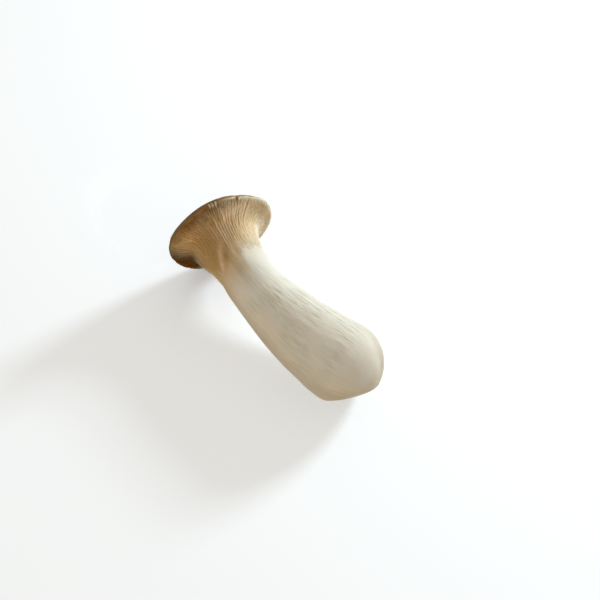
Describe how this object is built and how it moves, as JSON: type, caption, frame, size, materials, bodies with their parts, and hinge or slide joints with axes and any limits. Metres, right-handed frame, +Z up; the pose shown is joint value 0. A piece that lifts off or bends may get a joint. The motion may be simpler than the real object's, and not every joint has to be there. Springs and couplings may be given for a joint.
{
  "type": "king oyster mushroom",
  "caption": "Whole fresh king oyster mushroom lying on its side: thick ivory stem, slant-cut foot, and a flared brown cap with tan gills running a little way down the stem.",
  "frame": {"origin": "under the middle of the mushroom's box, on the surface it lies on", "axes": "+X from the cap to the foot, +Y to the side that the hollow of its gentle bend faces, +Z up from the surface it lies on"},
  "size_m": [0.133, 0.0559, 0.0585],
  "materials": {
    "mushroom_flesh": "matte, dry and faintly fibrous"
  },
  "bodies": {
    "root": {"mushroom": "mushroom_flesh"}
  },
  "joints": []
}
